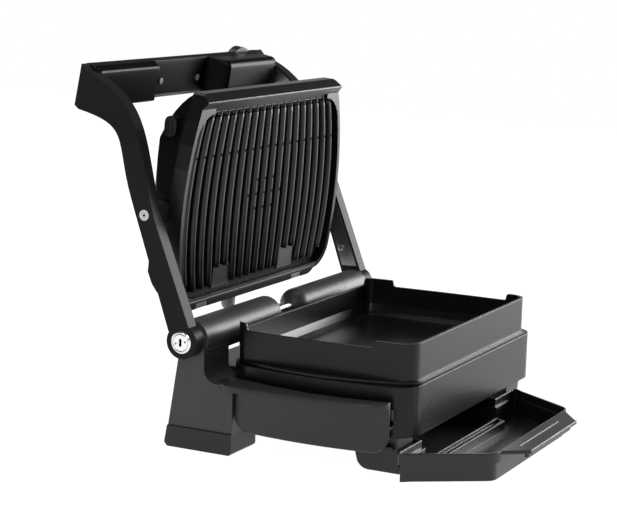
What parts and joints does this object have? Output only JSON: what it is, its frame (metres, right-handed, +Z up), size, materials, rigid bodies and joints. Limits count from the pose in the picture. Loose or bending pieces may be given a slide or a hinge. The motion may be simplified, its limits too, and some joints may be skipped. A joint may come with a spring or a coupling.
{
  "type": "electric contact grill",
  "caption": "Electric contact grill with its lid frame swung open, a floating ridged grill plate, a deep baking tray on the base and a drip tray drawn out in front.",
  "frame": {"origin": "middle of the part's box in X and Y, on the worktop plane", "axes": "+X to the grill's right, +Y to its back, +Z up"},
  "size_m": [0.365, 0.4233, 0.3422],
  "materials": {
    "body_plastic": "satin",
    "dark_plastic": "matte",
    "tower_plastic": "satin",
    "grip_plastic": "satin",
    "barrel_paint": "satin",
    "rubber": "matte",
    "bright_sheet": "satin",
    "heater_steel": "satin",
    "thermostat_metal": "satin",
    "ceramic": "satin",
    "screw_steel": "satin",
    "button_plastic": "satin",
    "tray_coating": "non-stick satin",
    "drip_plastic": "satin",
    "shaft_steel": "polished",
    "cap_chrome": "polished",
    "arm_paint": "satin",
    "cover_metal": "satin",
    "handle_plastic": "satin",
    "underside_plastic": "matte",
    "panel_gloss": "gloss",
    "key_plastic": "satin",
    "power_red": "gloss",
    "light_ring": "gloss",
    "board_green": "satin",
    "plate_coating": "non-stick satin",
    "clip_metal": "satin",
    "bush_metal": "satin",
    "sleeve_silicone": "matte"
  },
  "bodies": {
    "base": {"base_housing": "body_plastic", "bottom_cover": "dark_plastic", "left_tower": "tower_plastic", "right_tower": "tower_plastic", "left_tower_block": "dark_plastic", "right_tower_block": "dark_plastic", "left_front_foot": "tower_plastic", "right_front_foot": "tower_plastic", "rubber_feet": "rubber", "left_side_handle": "grip_plastic", "right_side_handle": "grip_plastic", "left_hinge_barrel": "barrel_paint", "right_hinge_barrel": "barrel_paint", "right_barrel_sleeve": "barrel_paint", "cord_gland": "rubber", "lower_reflector": "bright_sheet", "lower_heater": "heater_steel", "lower_thermostat": "thermostat_metal", "terminal_block": "ceramic", "base_screws": "screw_steel"},
    "lower_release": {"lower_release_button": "button_plastic"},
    "tray": {"baking_tray": "tray_coating"},
    "drip": {"drip_tray": "drip_plastic"},
    "lid": {"hinge_shaft": "shaft_steel", "hinge_caps": "cap_chrome", "left_arm": "arm_paint", "right_arm": "arm_paint", "left_arm_cover": "cover_metal", "right_arm_cover": "cover_metal", "arm_screws": "screw_steel", "pivot_pins": "shaft_steel", "handle_shell": "handle_plastic", "handle_underside": "underside_plastic", "handle_screws": "screw_steel", "control_panel": "panel_gloss", "programme_keypad": "key_plastic", "indicator_drum": "handle_plastic", "indicator_ring": "light_ring", "circuit_board": "board_green"},
    "power": {"power_button": "power_red"},
    "confirm": {"ok_button": "button_plastic"},
    "floating_head": {"upper_housing": "dark_plastic", "upper_reflector": "bright_sheet", "upper_heater": "heater_steel", "upper_thermostat": "thermostat_metal", "plate_clips": "clip_metal", "pivot_bushes": "bush_metal", "cable_sleeve": "sleeve_silicone"},
    "grill_plate": {"upper_plate": "plate_coating"},
    "upper_release": {"upper_release_button": "button_plastic"}
  },
  "joints": [
    {"name": "lid_hinge", "type": "hinge", "parent": "base", "child": "lid", "pos_m": [0, 0.0818, 0.1007], "axis": [1, 0, 0], "range_deg": [0, 87]},
    {"name": "plate_tilt", "type": "hinge", "parent": "lid", "child": "floating_head", "pos_m": [0, 0.1219, 0.2095], "axis": [-1, 0, 0], "range_deg": [0, 5]},
    {"name": "grill_plate_off", "type": "slide", "parent": "floating_head", "child": "grill_plate", "axis": [0, 0.9964, 0.0849], "range_m": [-0.03, 0]},
    {"name": "upper_release_press", "type": "slide", "parent": "floating_head", "child": "upper_release", "axis": [1, 0, 0], "range_m": [0, 0.003], "stiffness_N_per_m": 300},
    {"name": "baking_tray_lift", "type": "slide", "parent": "base", "child": "tray", "axis": [0, 0, -1], "range_m": [-0.06, 0]},
    {"name": "drip_tray_slide", "type": "slide", "parent": "base", "child": "drip", "axis": [0, 1, 0], "range_m": [-0.11, 0.003]},
    {"name": "lower_release_press", "type": "slide", "parent": "base", "child": "lower_release", "axis": [1, 0, 0], "range_m": [0, 0.003], "stiffness_N_per_m": 300},
    {"name": "power_press", "type": "slide", "parent": "lid", "child": "power", "axis": [0, -0.9869, -0.1616], "range_m": [0, 0.0015], "stiffness_N_per_m": 300},
    {"name": "ok_press", "type": "slide", "parent": "lid", "child": "confirm", "axis": [0, -0.9869, -0.1616], "range_m": [0, 0.0015], "stiffness_N_per_m": 300}
  ]
}
